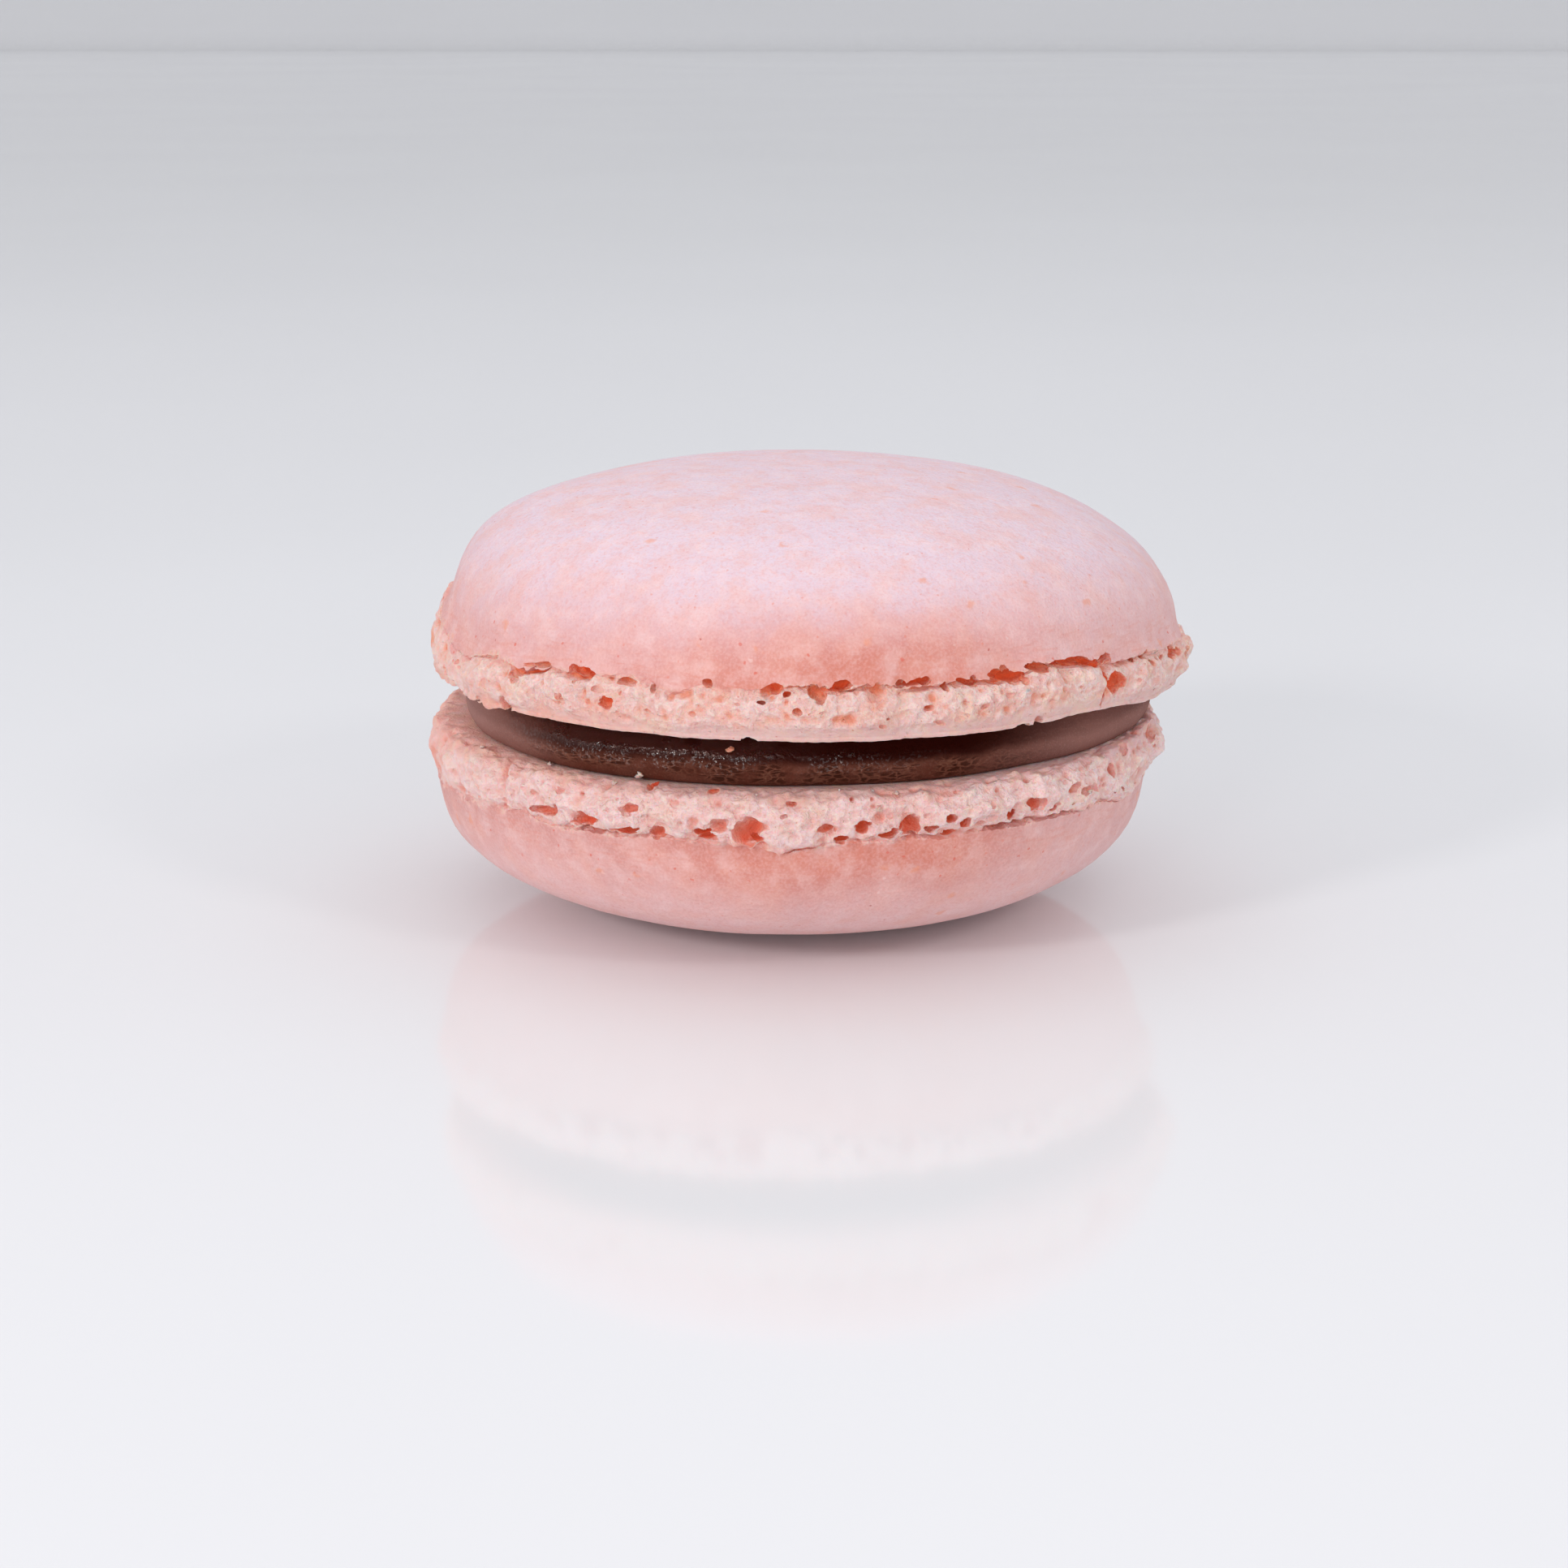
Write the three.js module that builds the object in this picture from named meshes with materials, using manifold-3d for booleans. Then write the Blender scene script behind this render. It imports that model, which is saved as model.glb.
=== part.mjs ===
// A French macaron: two almond-meringue shells with a disc of chocolate ganache between them.
// Each shell is one piece: a smooth dome of crust over a ragged, porous foot that ends in a flat base,
// where it stood on the baking sheet. The lower shell is turned over, so that both bases face the ganache,
// and the macaron rests on the small flat spot at the middle of the lower shell's crown.
// Millimetres, +Z up. The angle phi runs round the Z axis from the front (-Y) towards the right (+X).
import * as THREE from "three";
import { mergeVertices } from "three/addons/utils/BufferGeometryUtils.js";
import Module from "manifold-3d";

// Driving dimensions
const ACROSS = 50; // widest part of the upper shell's foot
const FOOT_HEIGHT = 3.2; // flat base to the edge of the crust
const LIP_HEIGHT = 0.3; // thin skin that baked flat against the sheet
const LIP_INSET = 0.95; // lip inside the widest part of the foot
const CRUST_INSET = 1.05; // edge of the crust inside the widest part of the foot
const GANACHE_HEIGHT = 3.4;
const GANACHE_RADIUS = 22.7; // widest, halfway up its bulging side
const GANACHE_BULGE = 0.7; // how far that stands out from its top and bottom edges
const SEAT_GAP = 0.05; // air left between the ganache and each base, so that the solids never overlap

// Facets
const SEGMENTS = 88; // round each shell
const FOOT_ROWS = 6; // up the foot, between the lip and the crust
const DOME_ROWS = 9; // up the dome, from its edge to its crown
const GANACHE_ROWS = 6; // up the ganache's side
const PIT_DETAIL = 1; // an icosahedron divided once, 80 faces

const TURN = 2 * Math.PI;
const wasm = await Module();
wasm.setup();

// The two shells differ in size, in how they lean and in where their foot rose. Angles are in degrees,
// as each shell stands on its base, so on the lower one, which is turned over, they run the other way.
// domePower: 2 is an ellipse, more is squarer at the shoulder. crustShift, lean: how far to the right
// the crust's edge sits, and its crown from there. flat: the spot pressed into the crown.
// rises: [phi, half width in degrees, height added to the foot, radius added to it, hang of its lip].
// pits: [phi, height above the base, width round the foot, height, depth], the large open bubbles.
const UPPER = {
  name: "shell_upper",
  seed: 11,
  radius: ACROSS / 2,
  domeHeight: 9.5,
  domePower: 2.4,
  crustShift: 0.45,
  lean: -1.4,
  shift: 0,
  flat: 0,
  rises: [
    [268, 17, 1.3, 0.25, 0.2],
    [30, 15, 0.45, 0, 0],
    [75, 26, -0.4, 0.4, 1.15],
    [180, 40, 0.3, 0, 0],
  ],
  pits: [
    [-46, 2.9, 2.1, 0.6, 1.2],
    [-39, 2.6, 1.7, 1.0, 1.3],
    [-52, 2.0, 1.3, 0.9, 0.9],
    [-28, 2.2, 2.2, 0.9, 0.9],
    [-33, 1.0, 1.5, 1.2, 0.8],
    [-3, 2.8, 2.2, 0.8, 1.5],
    [4, 2.7, 2.6, 1.1, 1.3],
    [12, 2.6, 2.3, 1.3, 1.0],
    [18, 3.1, 2.0, 0.6, 1.2],
    [34, 2.9, 2.8, 0.9, 1.6],
    [42, 3.1, 2.4, 0.7, 1.5],
    [49, 1.9, 0.5, 3.2, 1.2],
    [55, 1.5, 2.2, 1.9, 1.6],
    [71, 2.9, 2.2, 0.8, 1.2],
  ],
};
const LOWER = {
  name: "shell_lower",
  seed: 47,
  radius: (ACROSS - 1.1) / 2,
  domeHeight: 9.8,
  domePower: 2.42,
  crustShift: 0,
  lean: 0,
  shift: -0.85,
  flat: 0.28,
  rises: [
    [-82, 24, 0.2, 0.5, 0.6],
    [80, 22, 0.9, 0.2, 0],
    [170, 40, 0.3, 0.1, 0],
  ],
  pits: [
    [47, 2.5, 2.4, 1.1, 0.9],
    [37, 2.7, 2.0, 0.8, 1.4],
    [28, 2.9, 2.0, 0.7, 1.3],
    [19, 1.7, 1.2, 1.1, 0.9],
    [14, 2.9, 2.2, 1.1, 1.3],
    [7, 2.5, 3.0, 2.2, 1.5],
    [-10, 2.6, 1.3, 0.9, 1.5],
    [-14, 2.0, 2.2, 1.5, 0.8],
    [-21, 2.5, 2.6, 1.7, 1.4],
    [-27, 2.2, 1.7, 1.5, 1.2],
    [-37, 2.5, 1.3, 0.9, 1.5],
    [-49, 2.6, 2.2, 1.1, 1.1],
  ],
};
const PITS_ROUND = 26; // pits in a whole turn: those that a shell lists, and the rest drawn by chance

// A number from 0 to 1 that looks random and is always the same for the same seed.
function draw(seed) {
  const value = Math.sin(seed * 12.9898) * 43758.5453;
  return value - Math.floor(value);
}

// A smooth wave round the turn, about -1 to 1, of the given numbers of swells.
function wave(phi, orders, seed) {
  let total = 0;
  for (const order of orders) total += Math.sin(order * phi + TURN * draw(seed + order));
  return total / Math.sqrt(orders.length);
}

// 1 at the middle of a bell-shaped swelling, 0 well outside it, measured the short way round.
function bell(phi, middleDegrees, halfWidthDegrees) {
  const away = Math.atan2(
    Math.sin(phi - THREE.MathUtils.degToRad(middleDegrees)),
    Math.cos(phi - THREE.MathUtils.degToRad(middleDegrees)),
  );
  return Math.exp(-((away / THREE.MathUtils.degToRad(halfWidthDegrees)) ** 2));
}

// What a shell's rises add at phi. which: 0 to the foot's height, 1 to its radius, 2 to its lip's hang.
function rise(shell, phi, which) {
  let total = 0;
  for (const [at, half, ...added] of shell.rises) total += added[which] * bell(phi, at, half);
  return total;
}

// Height of the crust's ragged edge above the base.
function edgeHeight(shell, phi) {
  const ragged = 0.2 * wave(phi, [4, 7, 11, 18, 29], shell.seed + 100);
  return FOOT_HEIGHT + ragged + rise(shell, phi, 0);
}

// The foot's outside at a share of its height, 0 at the base and 1 at the crust's edge.
function footRadius(shell, phi, share) {
  const belly = Math.sin(Math.PI * Math.min(1, 0.12 + 0.8 * share));
  const frill = 0.28 * wave(phi + 0.05 * share, [5, 8, 13, 19, 27, 38], shell.seed);
  return shell.radius - LIP_INSET + (LIP_INSET + rise(shell, phi, 1) - 0.3 + frill) * belly;
}
function footHeight(shell, phi, share) {
  const upright = LIP_HEIGHT + share * (edgeHeight(shell, phi) - 0.25 - LIP_HEIGHT);
  return upright - (1 - share) * rise(shell, phi, 2);
}

// How far the groove under the crust's edge cuts in: deep in some places, gone in others.
function grooveDepth(shell, phi) {
  const open = 0.5 + 0.5 * wave(phi, [6, 10, 15, 24, 33], shell.seed + 200);
  return 0.9 * Math.max(0, open) ** 1.5;
}

// The point of the dome at a share of its quarter turn, 0 at the crust's edge and 1 at the crown.
function domePoint(shell, phi, share) {
  const angle = (share * Math.PI) / 2;
  const swell = 1 + 0.005 * wave(phi, [2, 3, 5], shell.seed + 300);
  const edge = edgeHeight(shell, phi);
  const crown = FOOT_HEIGHT + shell.domeHeight;
  const r = (shell.radius - CRUST_INSET) * swell * Math.max(0, Math.cos(angle)) ** (2 / shell.domePower);
  const lift = Math.sin(angle) ** (2 / shell.domePower);
  const z = Math.min(edge + (crown - edge) * lift, crown - shell.flat);
  return { r, z, lean: shell.crustShift + shell.lean * lift ** 3 };
}

// The rows of a shell's outline, from the middle of its base round the outside to its crown.
// Each is a function of phi that gives a radius, a height and how far the point leans to the right.
function shellRows(shell) {
  const rows = [
    () => ({ r: 0, z: 0 }),
    () => ({ r: GANACHE_RADIUS + 0.4, z: 0 }),
    (phi) => ({ r: footRadius(shell, phi, 0), z: -rise(shell, phi, 2) }),
    (phi) => ({ r: footRadius(shell, phi, 0) + 0.1, z: footHeight(shell, phi, 0) }),
  ];
  for (let row = 1; row <= FOOT_ROWS; row++) {
    const share = row / (FOOT_ROWS + 0.5);
    rows.push((phi, column) => ({
      r: footRadius(shell, phi, share) + 0.3 * (draw(shell.seed + 7 * row + 31 * column) - 0.5),
      z: footHeight(shell, phi, share),
    }));
  }
  rows.push((phi) => ({
    r: shell.radius - CRUST_INSET - 0.15 - grooveDepth(shell, phi),
    z: edgeHeight(shell, phi) - 0.12,
    lean: shell.crustShift,
  }));
  for (let row = 0; row <= DOME_ROWS; row++)
    rows.push((phi) => domePoint(shell, phi, (row / DOME_ROWS) ** 0.85));
  return rows;
}

// Sweeps rows round the turn: a lathe shape of the right number of points, whose points are then moved.
function swept(rows, segments) {
  const geometry = new THREE.LatheGeometry(
    rows.map((_, row) => new THREE.Vector2(1, row)),
    segments,
  );
  const position = geometry.getAttribute("position");
  for (let column = 0; column <= segments; column++) {
    const phi = (TURN * (column % segments)) / segments;
    rows.forEach((row, at) => {
      const { r, z, lean = 0 } = row(phi, column % segments);
      position.setXYZ(column * rows.length + at, r * Math.sin(phi) + lean, -r * Math.cos(phi), z);
    });
  }
  return geometry;
}

function toSolid(geometry) {
  const bare = geometry.clone();
  bare.deleteAttribute("normal");
  bare.deleteAttribute("uv");
  const merged = mergeVertices(bare, 1e-4);
  return new wasm.Manifold(
    new wasm.Mesh({
      numProp: 3,
      vertProperties: new Float32Array(merged.attributes.position.array),
      triVerts: new Uint32Array(merged.index.array),
    }),
  );
}

function toGeometry(solid) {
  const mesh = solid.getMesh();
  const geometry = new THREE.BufferGeometry();
  geometry.setAttribute("position", new THREE.BufferAttribute(mesh.vertProperties, 3));
  geometry.setIndex(new THREE.BufferAttribute(mesh.triVerts, 1));
  return geometry;
}

// The pits that a shell lists, then others spread evenly over the rest of the turn.
function allPits(shell) {
  const pits = shell.pits.map((pit) => [...pit]);
  const first = Math.max(...shell.pits.map(([phi]) => phi)) + 10;
  const last = Math.min(...shell.pits.map(([phi]) => phi)) + 350;
  const more = PITS_ROUND - pits.length;
  for (let pit = 0; pit < more; pit++) {
    const chance = (which) => draw(shell.seed + 17 * pit + which);
    pits.push([
      first + ((last - first) * (pit + 0.6 * chance(1))) / more,
      2.9 - 1.4 * chance(2) ** 2,
      1.4 + 1.6 * chance(3),
      0.7 + 0.8 * chance(4),
      0.9 + 0.6 * chance(5),
    ]);
  }
  return pits;
}

// One open bubble of the crumb, an ellipsoid sunk into the foot.
function pitSolid(shell, [degrees, height, width, tall, deep]) {
  const phi = THREE.MathUtils.degToRad(degrees);
  const share = height / edgeHeight(shell, phi);
  const r = footRadius(shell, phi, share) - 0.1;
  const tilt = 0.5 * (draw(shell.seed + degrees) - 0.5);
  const geometry = new THREE.IcosahedronGeometry(1, PIT_DETAIL);
  geometry.scale(width / 2, deep, tall / 2);
  geometry.rotateY(tilt);
  geometry.rotateZ(phi);
  geometry.translate(r * Math.sin(phi), -r * Math.cos(phi), footHeight(shell, phi, share));
  return toSolid(geometry);
}

function shellMesh(shell, material) {
  let solid = toSolid(swept(shellRows(shell), SEGMENTS));
  for (const pit of allPits(shell)) solid = solid.subtract(pitSolid(shell, pit));
  const whole = solid.decompose().sort((a, b) => b.volume() - a.volume())[0];
  const mesh = new THREE.Mesh(toGeometry(whole), material);
  mesh.name = shell.name;
  return mesh;
}

// The ganache was piped as a round blob and pressed flat, so its side bulges between two flat faces.
function ganacheMesh(material) {
  const height = GANACHE_HEIGHT - 2 * SEAT_GAP;
  const rows = [() => ({ r: 0, z: 0 })];
  for (let row = 0; row <= GANACHE_ROWS; row++) {
    const share = row / GANACHE_ROWS;
    const inset = GANACHE_BULGE * (1 - Math.sin(Math.PI * share) ** 0.7);
    rows.push((phi) => ({
      r: GANACHE_RADIUS - inset + 0.12 * wave(phi, [2, 3, 7, 12], 500),
      z: share * height,
    }));
  }
  rows.push(() => ({ r: 0, z: height }));
  const mesh = new THREE.Mesh(swept(rows, SEGMENTS), material);
  mesh.name = "ganache";
  return mesh;
}

function macaron() {
  const shellPink = new THREE.MeshStandardMaterial({ color: 0xedc4c4, roughness: 0.6, metalness: 0 });
  const lowerPink = new THREE.MeshStandardMaterial({ color: 0xe6b3ae, roughness: 0.65, metalness: 0 });
  const chocolate = new THREE.MeshStandardMaterial({ color: 0x4a2318, roughness: 0.35, metalness: 0 });

  const lowerBase = FOOT_HEIGHT + LOWER.domeHeight - LOWER.flat;
  const upperBase = lowerBase + GANACHE_HEIGHT;

  const lower = shellMesh(LOWER, lowerPink);
  lower.rotation.y = Math.PI;
  lower.position.set(LOWER.shift, 0, lowerBase);

  const ganache = ganacheMesh(chocolate);
  ganache.position.z = lowerBase + SEAT_GAP;

  const upper = shellMesh(UPPER, shellPink);
  upper.position.set(UPPER.shift, 0, upperBase);

  const pieces = new THREE.Group();
  pieces.add(lower, ganache, upper);

  // The origin is under the middle of the outer box, on the surface that the macaron stands on.
  const box = new THREE.Box3().setFromObject(pieces, true);
  const middle = box.getCenter(new THREE.Vector3());
  pieces.position.set(-middle.x, -middle.y, 0);

  const root = new THREE.Group();
  root.add(pieces);
  return root;
}

export default macaron();
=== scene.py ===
import functools
import math
import random
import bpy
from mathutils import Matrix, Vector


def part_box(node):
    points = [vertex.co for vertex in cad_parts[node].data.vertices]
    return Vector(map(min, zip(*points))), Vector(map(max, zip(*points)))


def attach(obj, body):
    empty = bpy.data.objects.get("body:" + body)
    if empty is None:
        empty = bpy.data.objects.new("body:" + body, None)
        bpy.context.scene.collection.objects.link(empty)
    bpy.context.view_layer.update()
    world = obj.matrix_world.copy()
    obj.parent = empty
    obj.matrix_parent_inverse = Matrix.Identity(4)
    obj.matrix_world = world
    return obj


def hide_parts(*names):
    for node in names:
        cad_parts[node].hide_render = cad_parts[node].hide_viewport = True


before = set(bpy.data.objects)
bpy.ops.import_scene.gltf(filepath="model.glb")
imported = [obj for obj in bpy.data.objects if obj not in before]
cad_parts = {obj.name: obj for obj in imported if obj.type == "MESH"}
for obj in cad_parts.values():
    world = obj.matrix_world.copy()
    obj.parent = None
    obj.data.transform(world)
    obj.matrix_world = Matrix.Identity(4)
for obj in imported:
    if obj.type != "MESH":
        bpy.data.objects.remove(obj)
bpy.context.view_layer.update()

from types import SimpleNamespace

import bmesh
import bpy
from mathutils import Matrix, Vector, noise
from mathutils.bvhtree import BVHTree

# A French macaron: two baked almond-meringue shells with a disc of chocolate ganache between them.
# Metres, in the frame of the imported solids: +Z up, -Y to the front, standing on z = 0.


# ---- The view -------------------------------------------------------------------------------------
# A long lens looks slightly down on the macaron from the front. The camera stands on the line that
# meets the macaron's middle and aims a little below and left of it, so the macaron sits high in frame.
MM = 0.001
FRAME_PIXELS = 1932
LENS_PIXELS = 4059  # focal length
MIDDLE_PIXEL = (994.2, 857.6)  # where the macaron's middle appears
MIDDLE = Vector((0, 0, 13.33 * MM))
CAMERA_AWAY = 220 * MM
CAMERA_RISE = math.radians(13)

back = Vector((0, -math.cos(CAMERA_RISE), math.sin(CAMERA_RISE)))
upward = Vector((0, math.sin(CAMERA_RISE), math.cos(CAMERA_RISE)))
metres_each_pixel = CAMERA_AWAY / LENS_PIXELS
aim = MIDDLE + Vector((1, 0, 0)) * (FRAME_PIXELS / 2 - MIDDLE_PIXEL[0]) * metres_each_pixel
aim += upward * (MIDDLE_PIXEL[1] - FRAME_PIXELS / 2) * metres_each_pixel

camera = bpy.data.objects.new("camera", bpy.data.cameras.new("camera"))
bpy.context.scene.collection.objects.link(camera)
camera.data.sensor_width = 36
camera.data.lens = camera.data.sensor_width * LENS_PIXELS / FRAME_PIXELS
camera.data.clip_start = 0.01
camera.data.clip_end = 20
camera.location = MIDDLE + back * CAMERA_AWAY
camera.rotation_mode = "QUATERNION"
camera.rotation_quaternion = (aim - camera.location).to_track_quat("-Z", "Y")
bpy.context.scene.camera = camera
bpy.context.scene.view_settings.view_transform = "Standard"


# ---- The table and the lamps ----------------------------------------------------------------------
# Glazed white china, rolled up behind like a photographer's sweep. A broad cool lamp hangs overhead and
# behind, a small one at each side of the camera gives the crust its sheens, and a low one at the front
# left picks out the wet wrinkles of the ganache.
class Wire:
    """The output of a shader node. Sums on it add Math nodes, and node() adds any other kind."""

    tree = None

    def __init__(self, socket):
        self.socket = socket

    @classmethod
    def node(cls, kind, settings, sockets, output=0):
        made = cls.tree.nodes.new(kind)
        for name, value in settings.items():
            if name == "stops":
                while len(made.color_ramp.elements) < len(value):
                    made.color_ramp.elements.new(0.5)
                for stop, (place, colour) in zip(made.color_ramp.elements, value):
                    stop.position = place
                    stop.color = colour
            else:
                setattr(made, name, value)
        for name, value in sockets.items():
            if isinstance(value, Wire):
                cls.tree.links.new(value.socket, made.inputs[name])
            else:
                made.inputs[name].default_value = value
        return cls(made.outputs[output])

    def math(self, operation, first, second):
        return Wire.node("ShaderNodeMath", {"operation": operation}, {0: first, 1: second})

    def __add__(self, other):
        return self.math("ADD", self, other)

    def __radd__(self, other):
        return self.math("ADD", other, self)

    def __sub__(self, other):
        return self.math("SUBTRACT", self, other)

    def __rsub__(self, other):
        return self.math("SUBTRACT", other, self)

    def __mul__(self, other):
        return self.math("MULTIPLY", self, other)

    def __rmul__(self, other):
        return self.math("MULTIPLY", other, self)


def start_material(name):
    """A new material, which the nodes that follow go into."""
    made = bpy.data.materials.new(name)
    made.use_nodes = True
    made.node_tree.nodes.clear()
    Wire.tree = made.node_tree
    return made


def end_material(shader):
    """Gives the material in hand its surface."""
    output = Wire.tree.nodes.new("ShaderNodeOutputMaterial")
    Wire.tree.links.new(shader.socket, output.inputs["Surface"])


def paint(red, green, blue):
    """A colour given as on a screen, from 0 to 255, as the shader's linear values."""
    def linear(value):
        share = value / 255
        return share / 12.92 if share <= 0.04045 else ((share + 0.055) / 1.055) ** 2.4
    return (linear(red), linear(green), linear(blue), 1.0)


def blend(share, colour, other):
    """colour where share is 0 and other where it is 1."""
    return Wire.node("ShaderNodeMix", {"data_type": "RGBA"}, {0: share, 6: colour, 7: other}, output=2)


def between(value, low, high):
    """0 where value is low or less and 1 where it is high or more."""
    sockets = {"Value": value, "From Min": low, "From Max": high}
    return Wire.node("ShaderNodeMapRange", {"interpolation_type": "SMOOTHSTEP"}, sockets)


def texture_place():
    """The point in the piece's own coordinates."""
    return Wire.node("ShaderNodeTexCoord", {}, {}, output="Object")


def grain(width, detail=2.0, roughness=0.5, distortion=0.0, place=None):
    """Noise from 0 to 1 whose swells are about that many metres wide."""
    return Wire.node("ShaderNodeTexNoise", {}, {
        "Vector": place or texture_place(),
        "Scale": 1 / width,
        "Detail": detail,
        "Roughness": roughness,
        "Distortion": distortion,
    })


def bumped(height, depth, after=None):
    """A normal that a height from 0 to 1 makes, over a depth in metres."""
    sockets = {"Height": height, "Distance": depth, "Strength": 1.0}
    if after:
        sockets["Normal"] = after
    return Wire.node("ShaderNodeBump", {}, sockets)


SWEEP_WIDTH = 3.0
SWEEP_FRONT = -1.0
SWEEP_BACK = 1.6
SWEEP_ROUND = 0.5
WALL_HEIGHT = 1.0
china = start_material("glazed china")
mottle = grain(0.09, detail=1)
shader = Wire.node("ShaderNodeBsdfPrincipled", {}, {
    "Base Color": blend(mottle, paint(238, 238, 241), paint(242, 242, 245)),
    "Roughness": 0.07 + 0.03 * mottle,
    "IOR": 1.5,
})
end_material(shader)

sweep = bmesh.new()
floor_line = [sweep.verts.new((-SWEEP_WIDTH / 2, y, 0)) for y in (SWEEP_FRONT, SWEEP_BACK)]
edges = [sweep.edges.new(floor_line)]
curve = bmesh.ops.spin(sweep, geom=[floor_line[1]], cent=(0, SWEEP_BACK, SWEEP_ROUND), axis=(1, 0, 0),
                       angle=math.pi / 2, steps=16)
wall_foot = curve["geom_last"][0]
wall_top = sweep.verts.new(wall_foot.co + Vector((0, 0, WALL_HEIGHT)))
sweep.edges.new((wall_foot, wall_top))
widened = bmesh.ops.extrude_edge_only(sweep, edges=sweep.edges[:])
side = [item for item in widened["geom"] if isinstance(item, bmesh.types.BMVert)]
bmesh.ops.translate(sweep, verts=side, vec=(SWEEP_WIDTH, 0, 0))
bmesh.ops.recalc_face_normals(sweep, faces=sweep.faces)
if sweep.faces[0].normal.z < 0:
    bmesh.ops.reverse_faces(sweep, faces=sweep.faces)
for face in sweep.faces:
    face.smooth = True
sweep_mesh = bpy.data.meshes.new("sweep")
sweep.to_mesh(sweep_mesh)
sweep.free()
table = bpy.data.objects.new("sweep", sweep_mesh)
table.data.materials.append(china)
bpy.context.scene.collection.objects.link(table)


def softbox(name, place, size, watts, colour):
    """A square lamp that faces the macaron."""
    lamp = bpy.data.objects.new(name, bpy.data.lights.new(name, "AREA"))
    lamp.data.size = size
    lamp.data.energy = watts
    lamp.data.color = colour
    lamp.location = Vector(place)
    lamp.rotation_mode = "QUATERNION"
    lamp.rotation_quaternion = (MIDDLE - lamp.location).to_track_quat("-Z", "Y")
    bpy.context.scene.collection.objects.link(lamp)


softbox("overhead", (0.02, 0.16, 0.52), 0.55, 0.62, (0.93, 0.95, 1.0))
softbox("front_left", (-0.37, -0.38, 0.25), 0.08, 0.76, (1.0, 0.97, 0.95))
softbox("front_right", (0.38, -0.34, 0.33), 0.09, 0.38, (1.0, 0.96, 0.92))
softbox("front_low", (-0.20, -0.57, 0.13), 0.10, 0.50, (1.0, 0.98, 0.98))

world = bpy.data.worlds.new("studio")
world.use_nodes = True
world.node_tree.nodes["Background"].inputs["Color"].default_value = (0.97, 0.98, 1.0, 1)
world.node_tree.nodes["Background"].inputs["Strength"].default_value = 0.705
bpy.context.scene.world = world


# ---- The two shells -------------------------------------------------------------------------------
# Almond meringue, piped in rounds and left to dry until the top is a skin. In the oven the rest
# rises under that skin and spreads at the baking sheet as a ragged foot, full of open bubbles,
# and the sheet leaves a thin flat lip. The lower shell is the same thing turned over.
FOOT_HEIGHT = 3.2  # millimetres, as are all sizes of the shells until they are placed
LIP_HEIGHT = 0.3
LIP_INSET = 0.95
CRUST_INSET = 1.05
SEAT_RADIUS = 23.1  # the flat base inside the lip, where the ganache sticks
TURN = math.tau

# rises: phi and half width in degrees, what it adds to the foot's height and radius, the hang of its
# lip, and how square the foot's top stands out there, from 0 to 1.
# lobes: phi and half width in degrees, how far the crust's edge runs up or down there.
# cracks: phi and half width in degrees, how much the crack under the crust's edge opens or closes there.
# lumps: phi, height above the base, half width, half height, how far it stands out.
# rim_round: how far the rim of the base is worn down. flare: how far the crust runs out to meet the foot.
# pits: phi, height above the base, width, height, depth. Angles run round from the front.
class Shell(SimpleNamespace):
    """The sizes of one shell, which cached functions take as an argument."""

    __hash__ = object.__hash__


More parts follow.
